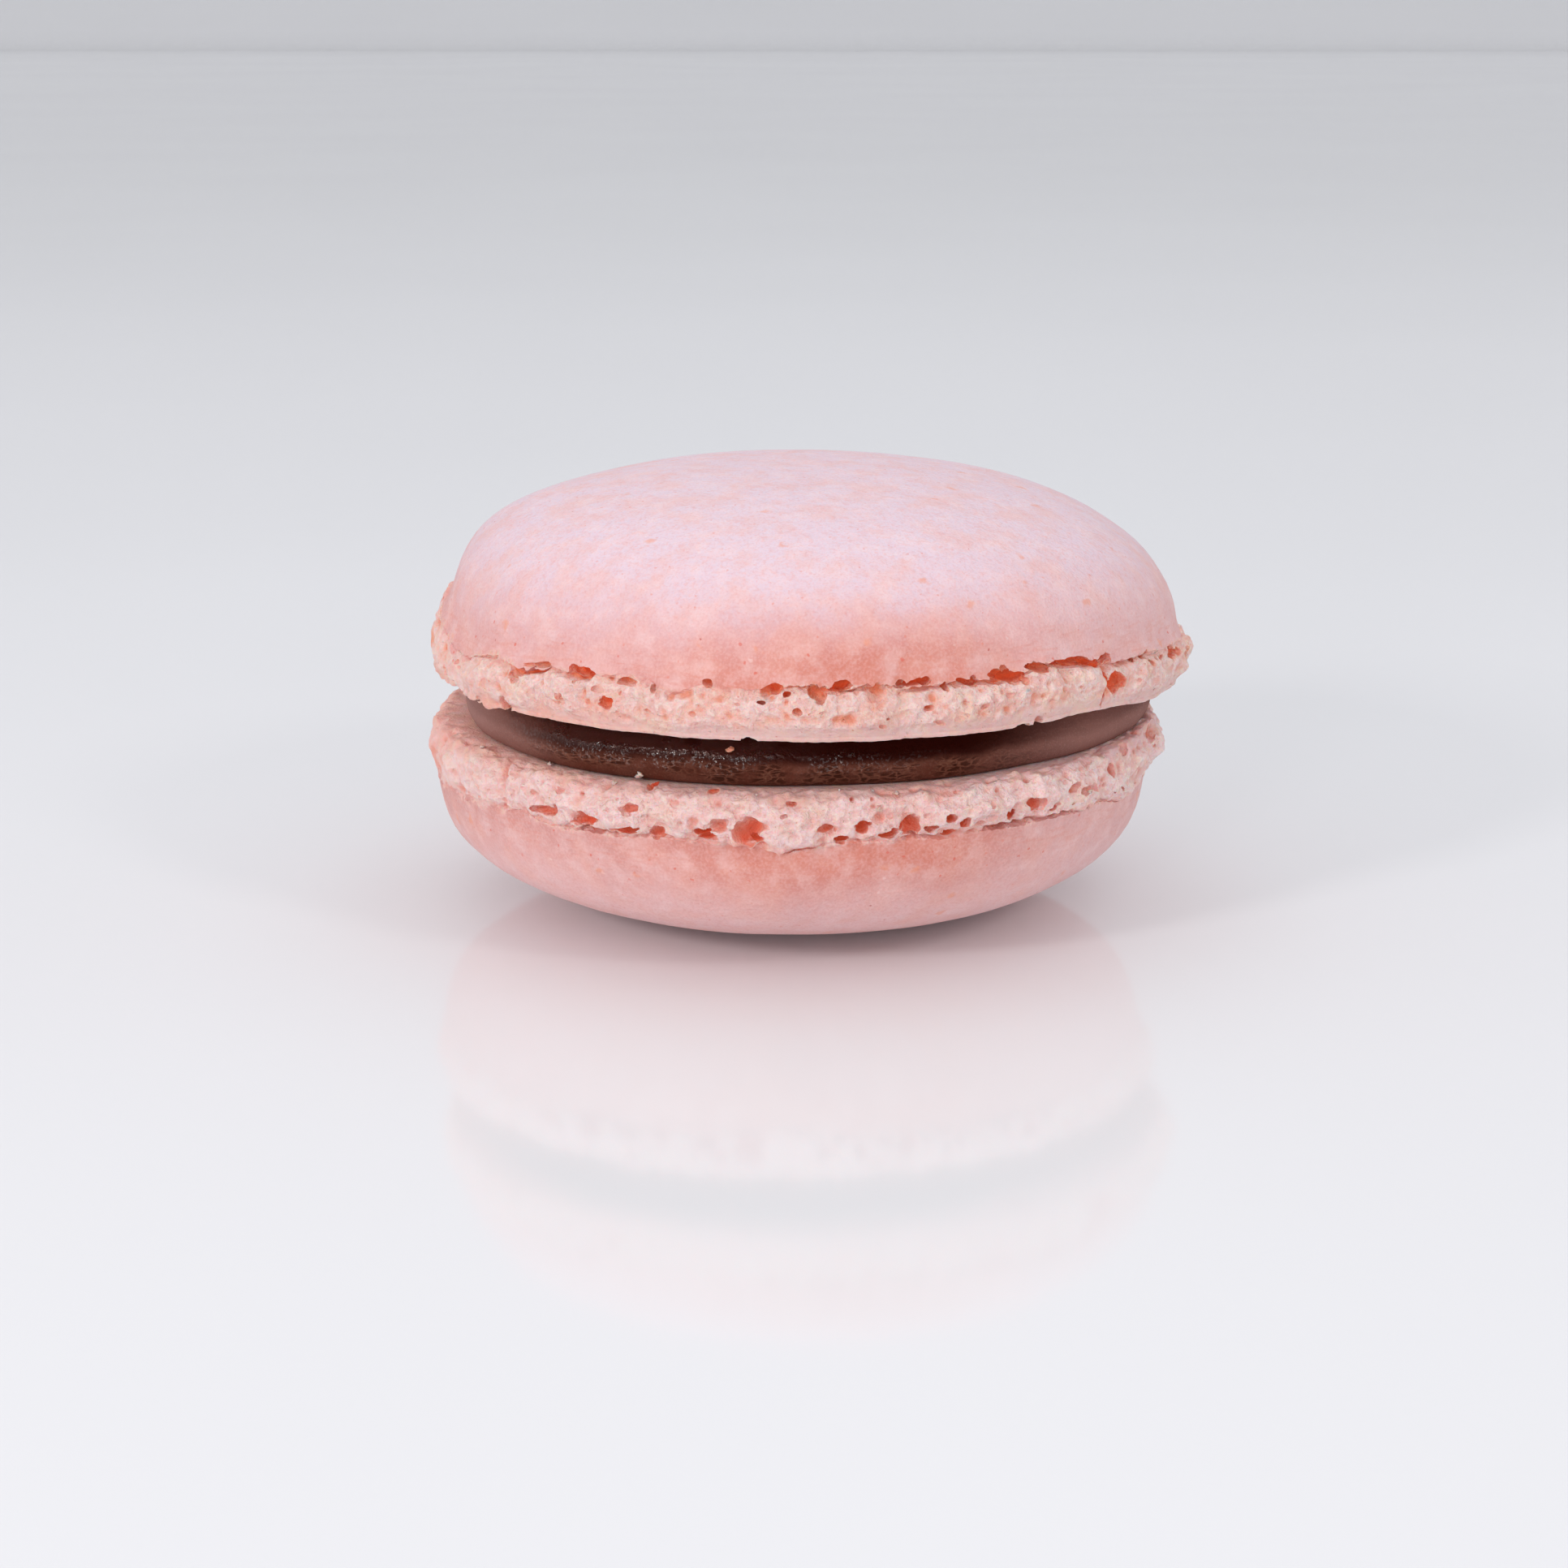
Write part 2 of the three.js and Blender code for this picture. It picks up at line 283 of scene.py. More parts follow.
upper = Shell(
    name="upper_shell", seed=11, radius=25.0, dome_height=9.5, dome_power=2.4, crust_shift=0.45,
    lean=-1.4, flat=0.0, rim_round=0.0, flare=1.0,
    rises=[
        (268, 17, 1.3, 0.25, 0.2, 0), (30, 15, 0.45, 0, 0, 0), (75, 26, -0.4, 0.4, 0, 0),
        (80, 21, 0, 0, 0.85, 0), (46, 12, 0, 0, -0.2, 0), (95, 22, -1.15, 0, 0, 1), (180, 40, 0.3, 0, 0, 0),
    ],
    lobes=[
        (-88, 9, -1.3), (-64, 7, -1.1), (-20, 3.5, -0.6), (-47, 5, -0.2), (-30, 4, 0.25), (7, 3, 0.15),
        (37, 4, 0.25),
    ],
    cracks=[
        (39, 13, 0.55), (16, 2.5, 0.4), (3, 2.5, 0.4), (-44, 3, 0.35), (-35, 2.5, 0.3), (-70, 17, -0.6),
        (-19, 7, -0.6), (78, 24, -0.7),
    ],
    lumps=[
        (-84, 3.6, 1.6, 0.40, 0.70), (-86, 2.8, 2.0, 0.22, -0.30), (-88, 1.4, 4.0, 1.4, -0.35),
        (-76, 0.6, 1.2, 0.6, 0.25), (-60, 0.1, 1.0, 0.5, 0.35), (-53, 0.0, 0.8, 0.5, 0.3),
        (62, 1.0, 3.0, 1.4, 0.25), (45, 2.6, 1.2, 0.5, 0.25), (-34, 2.6, 1.6, 0.5, 0.2),
    ],
    pits=[
        (-78, 1.7, 1.1, 1.0, 1.4), (-70, 0.6, 1.2, 0.4, 0.4), (-42, 3.6, 2.8, 0.42, 0.8),
        (-47, 2.7, 1.2, 0.7, 0.6), (-34, 3.65, 1.5, 0.7, 1.3), (-53, 1.2, 0.6, 1, 0.25),
        (-37, 1.6, 0.9, 0.55, 0.45), (-29, 1.7, 0.9, 0.85, 0.8), (-26, 3.3, 1.5, 0.5, 0.5),
        (-22, 3.1, 0.45, 0.5, 0.4), (-27, 2.5, 0.35, 0.35, 0.3), (-30.5, 2.7, 0.8, 0.5, 0.25),
        (-14, 3.7, 0.7, 0.5, 0.7), (-6, 2.6, 0.65, 0.3, 0.6), (-7, 3.25, 0.8, 0.42, 0.3),
        (-12, 1.7, 0.8, 0.9, 0.2), (-4.5, 3.4, 1.3, 0.8, 0.8), (-2.6, 3.1, 0.6, 0.4, 1.2),
        (-1, 2, 0.62, 0.55, 0.55), (1.8, 3.15, 1.3, 1.35, 0.55), (5.2, 3.6, 1.3, 0.75, 1.5),
        (8.4, 3.5, 0.35, 0.4, 0.4), (10.2, 3.2, 1.3, 1.15, 0.45), (15.3, 3.75, 1.6, 0.5, 1.1),
        (17.5, 1.9, 0.55, 0.4, 0.5), (19, 0.8, 0.8, 0.3, 0.35), (22, 1.1, 0.8, 0.6, 0.35),
        (20, 3.3, 0.5, 0.7, 0.6), (23.5, 3.5, 1.9, 0.55, 0.9), (25.5, 1.7, 0.5, 0.5, 0.3),
        (22.5, 2, 0.5, 0.5, 0.2), (28, 3.75, 1.8, 0.9, 1.0), (31.5, 3.4, 1.7, 0.75, 1.2),
        (35.5, 3.8, 2, 0.55, 1), (39.5, 3.95, 1.6, 0.5, 0.9), (30, 2.3, 0.7, 0.4, 0.25),
        (43.5, 3.8, 2.6, 0.6, 1.1), (48, 3.5, 1.8, 0.8, 1.2), (48.6, 2, 0.5, 3, 1.3),
        (51, 1.6, 2.5, 1.5, 1.5), (56.5, 2.9, 0.7, 0.45, 0.9), (60, 3.0, 0.8, 0.55, 1.0),
        (61.5, 2.3, 0.55, 0.35, 0.8), (64, 3.0, 0.35, 0.7, 0.6), (80, 1.4, 1.2, 0.6, 0.5),
        (-8, -0.4, 1.2, 0.6, 1.7), (35.5, -0.25, 0.7, 0.9, 1.9), (-49, 0.1, 0.9, 1, 0.8),
        (-56.5, -0.1, 0.7, 0.7, 0.6), (-66, 0, 0.9, 0.6, 0.6), (32.5, -0.36, 1.4, 0.35, 1.6),
        (-86, 0.9, 0.8, 0.6, 0.7), (68, 2.0, 1.3, 0.45, 0.9), (72, 2.1, 1.6, 0.65, 1.1),
        (74, 1.2, 0.6, 0.4, 0.4),
    ],
)
lower = Shell(
    name="lower_shell", seed=47, radius=24.45, dome_height=9.8, dome_power=2.42, crust_shift=0.0,
    lean=0.0, flat=0.28, rim_round=0.55, flare=0.4,
    rises=[(-82, 24, 0.2, 0.25, 0.6, 0), (80, 22, 0.9, 0.2, 0, 0), (170, 40, 0.3, 0.1, 0, 0)],
    lobes=[(2, 5, 0.35), (37, 6, -0.15), (-17, 3, 0.2)],
    cracks=[(30, 9, 0.25), (-20, 5, 0.3), (-36, 5, 0.25), (-78, 24, -0.7), (76, 24, -0.7)],
    lumps=[(88, 2.2, 7.0, 1.8, -0.45), (1, 2.7, 1.8, 0.5, 0.3), (-16, 2.4, 0.8, 0.4, 0.2)],
    pits=[
        (68, 0.9, 0.9, 1.2, 0.3), (46, 0.3, 1, 0.5, 0.35), (54, 2, 1.2, 0.4, 0.3),
        (40, 2.55, 2.6, 0.65, 0.8), (37, 2.1, 0.45, 0.5, 1.2), (32, 2.6, 2.1, 0.85, 1),
        (25, 2.9, 2.2, 0.5, 1.1), (20, 3, 1, 0.8, 0.8), (24, 1.2, 1.2, 0.6, 0.6),
        (17, 0.5, 0.7, 0.5, 0.35), (21.4, -0.3, 0.5, 0.5, 1.2), (36, 0.6, 0.7, 0.5, 0.35),
        (11.5, -0.35, 0.7, 0.25, 1.0), (13, 2.5, 0.9, 0.6, 1.4), (10.5, 2, 1.2, 0.9, 0.6),
        (12, 2.9, 1.6, 0.42, 0.8), (6, 2.4, 2.5, 1.9, 1.2), (5, 2.9, 0.9, 0.6, 0.9),
        (1, 1.1, 0.45, 0.3, 0.3), (0, 0.3, 0.75, 0.35, 0.5), (-6, 0.45, 0.8, 0.55, 0.2),
        (-9, 0.1, 0.35, 0.4, 0.5), (-5, 2.1, 1.2, 0.5, 0.7), (-7.5, 3, 1, 0.45, 1),
        (-10.5, 2.1, 0.8, 0.9, 1.1), (-13, 1.4, 1.3, 0.8, 0.5), (-14.5, 2.8, 1.1, 0.5, 1),
        (-18, 2.3, 1.3, 1.3, 0.9), (-21, 2.5, 0.9, 0.4, 0.7), (-20, 1.6, 0.5, 0.4, 0.35),
        (-23.5, 1.8, 0.8, 0.45, 0.9), (-26, 2.3, 0.65, 0.9, 1), (-24, 3, 0.8, 0.5, 1),
        (-29.5, 2.4, 1.5, 0.7, 0.35), (-30, 1.1, 0.7, 0.5, 0.3), (-34.5, 2.4, 1, 0.7, 1.4),
        (-39, 1.8, 1.2, 1, 0.8), (-42.5, 2.4, 0.8, 0.65, 0.9), (-47, 1.4, 1, 0.7, 0.5),
        (-50, 1.7, 1.4, 0.4, 0.5), (-57, 1.2, 0.7, 1, 0.7), (-62, 0.2, 1, 0.9, 0.35),
        (-76, 0.6, 1.6, 1.2, 0.5), (-12, 0.1, 0.4, 0.4, 0.4), (-25, 0.1, 0.5, 0.3, 0.4),
    ],
)


def chance(seed):
    """A number from 0 to 1 that looks random and is always the same for the same seed."""
    value = math.sin(seed * 12.9898) * 43758.5453
    return value - math.floor(value)


def wave(phi, orders, seed):
    """A smooth wave round the turn, about -1 to 1, of the given numbers of swells."""
    total = sum(math.sin(order * phi + TURN * chance(seed + order)) for order in orders)
    return total / math.sqrt(len(orders))


def hump(phi, middle, half_width, power=2):
    """1 where phi is at the middle of a hump, given in degrees, and less the further round it is."""
    away = math.remainder(phi - math.radians(middle), TURN)
    return math.exp(-(away / math.radians(half_width)) ** power)


@functools.cache
def rise(shell, phi, which):
    """What a shell's rises add at phi. which: 0 to the foot's height, 1 to its radius, 2 to its lip's hang,
    3 to how square its top stands."""
    total = 0
    for middle, half_width, *added in shell.rises:
        total += added[which] * hump(phi, middle, half_width)
    return total


@functools.cache
def edge_height(shell, phi):
    """Height of the crust's edge above the base."""
    height = FOOT_HEIGHT + rise(shell, phi, 0) + 0.2 * wave(phi, (4, 7, 11, 18, 29), shell.seed + 100)
    for middle, half_width, added in shell.lobes:
        height += added * hump(phi, middle, half_width)
    return height


def foot_radius(shell, phi, share):
    """Radius of the foot at a share of its height, 0 at the base and 1 at the crust's edge."""
    belly = math.sin(math.pi * min(1, 0.12 + (0.8 - 0.32 * rise(shell, phi, 3)) * share))
    frill = 0.28 * wave(phi + 0.05 * share, (5, 8, 13, 19, 27, 38), shell.seed)
    return shell.radius - LIP_INSET + (LIP_INSET + rise(shell, phi, 1) - 0.3 + frill) * belly


def foot_height(shell, phi, share):
    """Height of the foot at the same share, lower where its lip hangs."""
    upright = LIP_HEIGHT + share * (edge_height(shell, phi) - 0.25 - LIP_HEIGHT)
    return upright - (1 - share) * rise(shell, phi, 2)


@functools.cache
def opening(shell, phi):
    """How open the crack under the crust's edge is, from 0 where the crust runs into the foot to 1."""
    wide = 0.4 * min(1.3, max(0, 0.5 + 0.5 * wave(phi, (6, 10, 15, 24, 33), shell.seed + 200))) ** 1.5
    for middle, half_width, added in shell.cracks:
        wide += added * hump(phi, middle, half_width, power=4)
    return min(1, max(0, wide))


def polar(radius, phi, height):
    """The point at that radius and height, phi round from the front."""
    return Vector((radius * math.sin(phi), -radius * math.cos(phi), height))


def shell_point(shell, phi, along):
    """The shell's surface at phi, before its bubbles are cut. along counts the stretches of its outline:
    0 the base, 1 the rim of the base, 2 the lip, 3 the foot, 4 the crack under the crust, 5 the dome."""
    stretch, share = (5, 1.0) if along >= 6 else divmod(along, 1)
    middle_of_lip = foot_radius(shell, phi, 0)
    hang = rise(shell, phi, 2)
    if stretch == 0:
        return polar(SEAT_RADIUS * share, phi, 0)
    worn = shell.rim_round
    if stretch == 1:
        rim = SEAT_RADIUS - 0.3 * worn
        return polar(rim + (middle_of_lip - rim) * share, phi, -hang * share + 0.7 * worn * share ** 2)
    if stretch == 2:
        top = foot_height(shell, phi, 0) + worn * 0.9
        bottom = -hang + 0.7 * worn
        return polar(middle_of_lip + (0.1 + 0.2 * worn) * share, phi, bottom + (top - bottom) * share)
    if stretch == 3:
        lip = worn * max(0, 1 - share / 0.5)
        radius = foot_radius(shell, phi, share) + 0.2 * lip
        return polar(radius, phi, foot_height(shell, phi, share) + 0.9 * lip)

    arc = phi * shell.radius
    open_share = opening(shell, phi)
    ragged = 0.30 * noise.noise((arc / 0.9, shell.seed, 0)) + 0.22 * noise.noise((arc / 0.4, shell.seed, 5))
    smooth_edge = FOOT_HEIGHT + rise(shell, phi, 0)
    edge = edge_height(shell, phi)
    crust_radius = shell.radius - CRUST_INSET
    shoulder = foot_radius(shell, phi, 1)
    side = max(0, -math.sin(phi) if shell is upper else math.sin(phi)) ** 4
    proud = 0.12 * min(1, 2 * open_share) + 0.35 * side
    flare = max(0, shoulder - crust_radius + proud) * shell.flare * (1 - rise(shell, phi, 3))
    if stretch == 4:
        bottom = foot_height(shell, phi, 1) - 0.3 * open_share
        top = edge + ragged * (0.4 + open_share)
        inward = 1.3 * max(0, open_share - 0.04) * (1 - 0.9 * side) * math.sin(math.pi * share) ** 0.7
        radius = shoulder + (crust_radius + flare - shoulder) * share - inward
        point = polar(radius, phi, bottom + (top - bottom) * share)
        point.x += shell.crust_shift * share
        return point

    angle = share * math.pi / 2
    swell = 1 + 0.005 * wave(phi, (2, 3, 5), shell.seed + 300)
    lift = math.sin(angle) ** (2 / shell.dome_power)
    crown = FOOT_HEIGHT + shell.dome_height
    height = smooth_edge + (crown - smooth_edge) * lift
    height += (edge - smooth_edge) * max(0, 1 - share / 0.5) ** 2
    height += ragged * (0.4 + open_share) * max(0, 1 - share / 0.1) ** 2
    radius = crust_radius * swell * max(0, math.cos(angle)) ** (2 / shell.dome_power)
    radius += flare * max(0, 1 - (height - edge) / (1.3 + 0.9 * side)) ** 2
    point = polar(radius, phi, height)
    point.x += shell.crust_shift + shell.lean * lift ** 3
    unevenness = 0.10 * noise.noise(point / 9 + Vector((shell.seed, 0, 0)))
    unevenness += 0.03 * noise.noise(point / 3.5)
    point += point.normalized() * unevenness * min(1, 6 * share)
    point.z = min(point.z, crown - shell.flat)
    return point


def crumb_relief(shell, point):
    """How far the torn crumb of the foot stands out or in: soft lumps and the prints of bubbles."""
    shift = Vector((shell.seed, 3 * shell.seed, 0))
    relief = 0.24 * noise.noise(point / 2.1 + shift) + 0.28 * noise.noise(point / 0.9 + shift)
    relief += 0.22 * noise.noise(point / 0.42 + shift)
    for width, deep in ((1.6, 0.34), (0.8, 0.26)):
        distances, nearest = noise.voronoi(point / width + shift)
        reach = 0.22 + 0.2 * noise.cell(nearest[0] * 31)
        relief -= deep * max(0, 1 - (distances[0] / max(0.12, reach)) ** 2)
    return relief


COLUMNS = 480
FRONT_FINENESS = 0.35  # how much closer the columns stand at the front
FOOT_ROWS = 11
CRACK_ROWS = 7
DOME_ROWS = 26


def raise_shell(shell):
    """The shell as a closed mesh without bubbles. Three layers say how far below the crust's edge each
    of its points lies in millimetres, how deep in the crumb, which sets the crumb's painted red and glow
    of scattered light, and how high up the dome."""
    shape = bmesh.new()
    layers = shape.verts.layers.float
    along, below, depth, height = [layers.new(name) for name in ("along", "below", "depth", "height")]
    ledge_rows = [0.95, 0.97, 0.985] if shell.rim_round else []
    places = [0, 0.5, 0.8, 0.93] + ledge_rows + [1, 1.25, 1.5, 1.75, 2, 2.5]
    places += [3 + row / FOOT_ROWS for row in range(FOOT_ROWS)]
    places += [4 + row / CRACK_ROWS for row in range(CRACK_ROWS)]
    places += [5 + (row / DOME_ROWS) ** 0.85 for row in range(DOME_ROWS + 1)]
    outline = []
    for place in places:
        pole = place in (0, 6)
        point = shape.verts.new((0 if pole else 1, 0, place))
        point[along] = place
        outline.append(point)
    edges = [shape.edges.new(pair) for pair in zip(outline, outline[1:])]
    bmesh.ops.spin(shape, geom=outline + edges, cent=(0, 0, 0), axis=(0, 0, 1), angle=TURN, steps=COLUMNS,
                   use_merge=True)
    bmesh.ops.remove_doubles(shape, verts=shape.verts, dist=1e-6)
    fine = [edge for edge in shape.edges if all(0.9 < point[along] < 5.12 for point in edge.verts)]
    bmesh.ops.subdivide_edges(shape, edges=fine, cuts=1, use_grid_fill=True)
    for point in shape.verts:
        turned = math.atan2(point.co.x, -point.co.y)
        phi = round(turned - FRONT_FINENESS * math.sin(turned), 5)
        place = point[along]
        point.co = shell_point(shell, phi, place)
        edge = edge_height(shell, phi)
        point[below] = edge - point.co.z if place > 1.5 else FOOT_HEIGHT
        point[height] = min(1, max(0, (point.co.z - edge) / shell.dome_height))
        # depth sets the painted red and glow of light scattered in the crumb: the crack under the crust
        # gets it, and so does every dip of the torn crumb.
        crack = 1 - abs(place - 4.5) * 2
        point[depth] = max(0, crack) * opening(shell, phi) * 0.8
        out = polar(1, phi, 0.8 * (place - 3.5)).normalized()
        ragged_lip = 0.12 + 0.88 * min(1, max(0, -math.degrees(phi) / 12 - 3.8)) + shell.rim_round
        on_lip = ragged_lip * min(1, (1 + 6 * shell.rim_round) * max(0, place - 1))
        on_ledge = min(0.85, shell.rim_round * 32 * (place - 0.945)) if place > 0.945 else 0
        on_foot = (place - 3.03) / 0.35
        torn = min(1, max(on_lip, on_ledge, on_foot, 0)) * min(1, max(0, (5.06 - place) / 0.3))
        leftward = (-point.co.x if shell is upper else point.co.x) / shell.radius
        torn *= 1 - 0.5 * min(1, max(0, leftward)) ** 12
        stands_out = crumb_relief(shell, point.co) * torn
        if 2 <= place < 5.3:
            for middle, middle_height, half_width, half_height, added in shell.lumps:
                away = math.remainder(phi - math.radians(middle), TURN) * shell.radius / half_width
                above = (point.co.z - middle_height) / half_height
                stands_out += added * math.exp(-away ** 2 - above ** 2)
        hollow = min(0.24, (0.07 - stands_out) * 0.6) if torn > 0 else 0
        point[depth] = min(1, max(point[depth], hollow))
        point.co += out * stands_out
    bmesh.ops.recalc_face_normals(shape, faces=shape.faces)
    return shape


def scattered_pits(shell, count, sizes, seed):
    """Bubbles drawn by chance round the foot, more near the crust and few where some are listed."""
    draw = random.Random(seed)
    pits = []
    for number in range(count):
        phi = 360 * (number + draw.random()) / count
        size = sizes[0] + (sizes[1] - sizes[0]) * draw.random() ** 2
        height = edge_height(shell, math.radians(phi)) - 0.1 - (FOOT_HEIGHT - 0.7) * draw.random() ** 1.4
        width = size * draw.uniform(0.8, 1.9)
        tall = size * draw.uniform(0.6, 1.0)
        deep = size * draw.uniform(0.5, 1.1)
        listed = abs(math.remainder(phi, 360)) < 85
        if not listed or draw.random() < 0.5 and size < 0.42:
            pits.append((phi, height, width, tall, deep))
    return pits


def with_satellites(shell, pits):
    """The listed bubbles, with two smaller ones broken into the rim of each larger one."""
    draw = random.Random(shell.seed + 2)
    more = list(pits)
    for degrees, height, width, tall, deep in pits:
        for _ in range(2 if 0.75 < width < 2.2 and tall > 0.35 and height > 0.5 else 0):
            way = draw.uniform(0, TURN)
            size = draw.uniform(0.35, 0.6) * min(width, 1.6)
            aside = math.degrees(0.48 * width * math.cos(way) / shell.radius)
            above = 0.48 * tall * math.sin(way)
            low = size * draw.uniform(0.6, 1)
            shallow = deep * draw.uniform(0.4, 0.8)
            more.append((degrees + aside, height + above, size, low, shallow))
    return more


DEEPEST = 1.25  # millimetres under the foot's surface, where the painted red of light scattered in the crumb is strongest


def cut_bubbles(shell, piece, pits, fineness):
    """Cuts bubbles into the foot: rough ellipsoids, in rounds in which no two touch."""
    rounds = []
    for degrees, height, width, tall, deep in pits:
        phi = math.radians(degrees)
        share = height / edge_height(shell, phi)
        surface = foot_radius(shell, phi, share)
        sunk = min(0.25, 0.45 * (deep - 0.5)) if width < 2 else -0.15
        middle = polar(surface - sunk, phi, foot_height(shell, phi, share))
        reach = 0.62 * max(width, tall, 2 * deep)
        tilt = 0.6 * (chance(shell.seed + degrees) - 0.5)
        turn = Matrix.Translation(middle) @ Matrix.Rotation(phi, 4, "Z") @ Matrix.Rotation(tilt, 4, "Y")
        turn = turn @ Matrix.Diagonal((width / 2, deep, tall / 2, 1))
        for group in rounds:
            if all((middle - other).length > reach + size for other, size, *_ in group):
                group.append((middle, reach, surface, tall, deep, turn))
                break
        else:
            rounds.append([(middle, reach, surface, tall, deep, turn)])
    for group in rounds:
        bubbles = bmesh.new()
        below = bubbles.verts.layers.float.new("below")
        depth = bubbles.verts.layers.float.new("depth")
        for middle, reach, surface, tall, deep, turn in group:
            made = bmesh.ops.create_icosphere(bubbles, subdivisions=fineness, radius=1, matrix=turn)
            for point in made["verts"]:
                rough = 0.45 * noise.noise(point.co / (0.25 + 0.5 * reach))
                rough += 0.3 * noise.noise(point.co / 0.3)
                point.co += (point.co - middle) * rough
                point[below] = 1.0
                # How deep the bubble's wall lies sets its painted red and glow of scattered light; even the
                # shallowest get some.
                inward = (surface - math.hypot(point.co.x, point.co.y)) / DEEPEST
                under_crust = 0.75 + 0.7 * (point.co.z - middle.z) / tall
                by_the_base = 1 if shell.rim_round else min(1, max(0, (middle.z + 0.1) / 0.9))
                least = 0.09 + 0.13 * min(1, deep) * by_the_base
                point[depth] = min(1, max(least, inward * under_crust * by_the_base))
        cutter_mesh = bpy.data.meshes.new("bubbles")
        bubbles.to_mesh(cutter_mesh)
        bubbles.free()
        cutter = bpy.data.objects.new("bubbles", cutter_mesh)
        bpy.context.scene.collection.objects.link(cutter)
        cut = piece.modifiers.new("bubbles", "BOOLEAN")
        cut.operation = "DIFFERENCE"
        cut.solver = "MANIFOLD"
        cut.object = cutter
        seen = piece.evaluated_get(bpy.context.evaluated_depsgraph_get())
        whole = bpy.data.meshes.new_from_object(seen)
        piece.modifiers.remove(cut)
        piece.data = whole
        bpy.data.objects.remove(cutter)


def largest_island(shape):
    """Deletes whatever the bubbles cut loose."""
    left = set(shape.verts)
    largest = set()
    while left:
        found = {left.pop()}
        to_visit = list(found)
        while to_visit:
            point = to_visit.pop()
            for edge in point.link_edges:
                other = edge.other_vert(point)
                if other in left:
                    left.discard(other)
                    found.add(other)
                    to_visit.append(other)
        if len(found) > len(largest):
            largest = found
    scraps = [point for point in shape.verts if point not in largest]
    bmesh.ops.delete(shape, geom=scraps, context="VERTS")


def mend_rims(shell, shape):
    """Gives values to the points of the bubbles' rims, which come out of the cut without any."""
    below, depth, height = [shape.verts.layers.float[name] for name in ("below", "depth", "height")]
    for point in shape.verts:
        if point[below] != 0:
            continue
        phi = round(math.atan2(point.co.x, -point.co.y), 3)
        edge = edge_height(shell, phi)
        share = min(1, max(0, point.co.z / edge))
        inward = foot_radius(shell, phi, share) - math.hypot(point.co.x, point.co.y)
        point[below] = max(edge - point.co.z, 0.5) if inward > 0.35 else edge - point.co.z
        point[height] = min(1, max(0, (point.co.z - edge) / shell.dome_height))
        by_the_base = 1 if shell.rim_round else min(1, max(0, (point.co.z - 0.2) / 0.8))
        # The rim's depth sets its painted red of scattered light, as for the bubbles.
        point[depth] = min(1, max(0.06 + 0.06 * by_the_base, by_the_base * (inward - 0.15) / DEEPEST))


MIDDLING = (90, (0.35, 1.3))  # how many bubbles go round the foot, and their least and largest size
FINE = (260, (0.2, 0.5))
SMOOTHING = 0.27  # how far a point of the crumb moves towards its neighbours, twice
CREASE = math.radians(48)  # an edge that turns more than this is shaded as a sharp one


def bake_shell(shell, turn):
    """One finished shell, placed by turn."""
    shape = raise_shell(shell)
    mesh = bpy.data.meshes.new(shell.name)
    shape.to_mesh(mesh)
    shape.free()
    piece = bpy.data.objects.new(shell.name, mesh)
    bpy.context.scene.collection.objects.link(piece)
    cut_bubbles(shell, piece, with_satellites(shell, shell.pits), 3)
    cut_bubbles(shell, piece, scattered_pits(shell, *MIDDLING, shell.seed), 2)
    cut_bubbles(shell, piece, scattered_pits(shell, *FINE, shell.seed + 1), 2)

    shape = bmesh.new()
    shape.from_mesh(piece.data)
    largest_island(shape)
    mend_rims(shell, shape)
    below = shape.verts.layers.float["below"]
    torn = [point for point in shape.verts if point[below] > 0.05]
    for _ in range(2):
        bmesh.ops.smooth_vert(shape, verts=torn, factor=SMOOTHING, use_axis_x=True, use_axis_y=True,
                              use_axis_z=True)
    bmesh.ops.transform(shape, matrix=turn, verts=shape.verts)
    for face in shape.faces:
        face.smooth = True
    for edge in shape.edges:
        edge.smooth = len(edge.link_faces) != 2 or edge.calc_face_angle() < CREASE
    shape.to_mesh(piece.data)
    shape.free()
    return piece


def vector_math(operation, sockets):
    """Sums on places and colours, which a Math node would turn into one number."""
    return Wire.node("ShaderNodeVectorMath", {"operation": operation}, sockets)


def coordinate(axis):
    """How far along one axis a point of the piece lies, in metres."""
    return Wire.node("ShaderNodeSeparateXYZ", {}, {"Vector": texture_place()}, output=axis)


def spots(width, reach, share, seed):
    """1 in the middle of small uneven spots, in that share of the cells."""
    moved = vector_math("ADD", {0: texture_place(), 1: (seed * 0.1, 0, 0)})
    sway_sockets = {"Vector": moved, "Scale": 0.6 / (width * reach), "Detail": 1.0}
    sway = Wire.node("ShaderNodeTexNoise", {}, sway_sockets, output="Color")
    swayed = vector_math("SCALE", {0: sway, "Scale": 1.6 * width * reach})
    uneven = vector_math("ADD", {0: moved, 1: swayed})
    sockets = {"Vector": uneven, "Scale": 1 / width}
    cells = Wire.node("ShaderNodeTexVoronoi", {}, sockets, output="Distance")
    which = Wire.node("ShaderNodeTexVoronoi", {}, sockets, output="Color")
    drawn = Wire.node("ShaderNodeSeparateColor", {}, {"Color": which})
    chosen = between(drawn, 1 - share, 1 - share + 0.02)
    return (1 - between(cells, reach * 0.5, reach)) * chosen


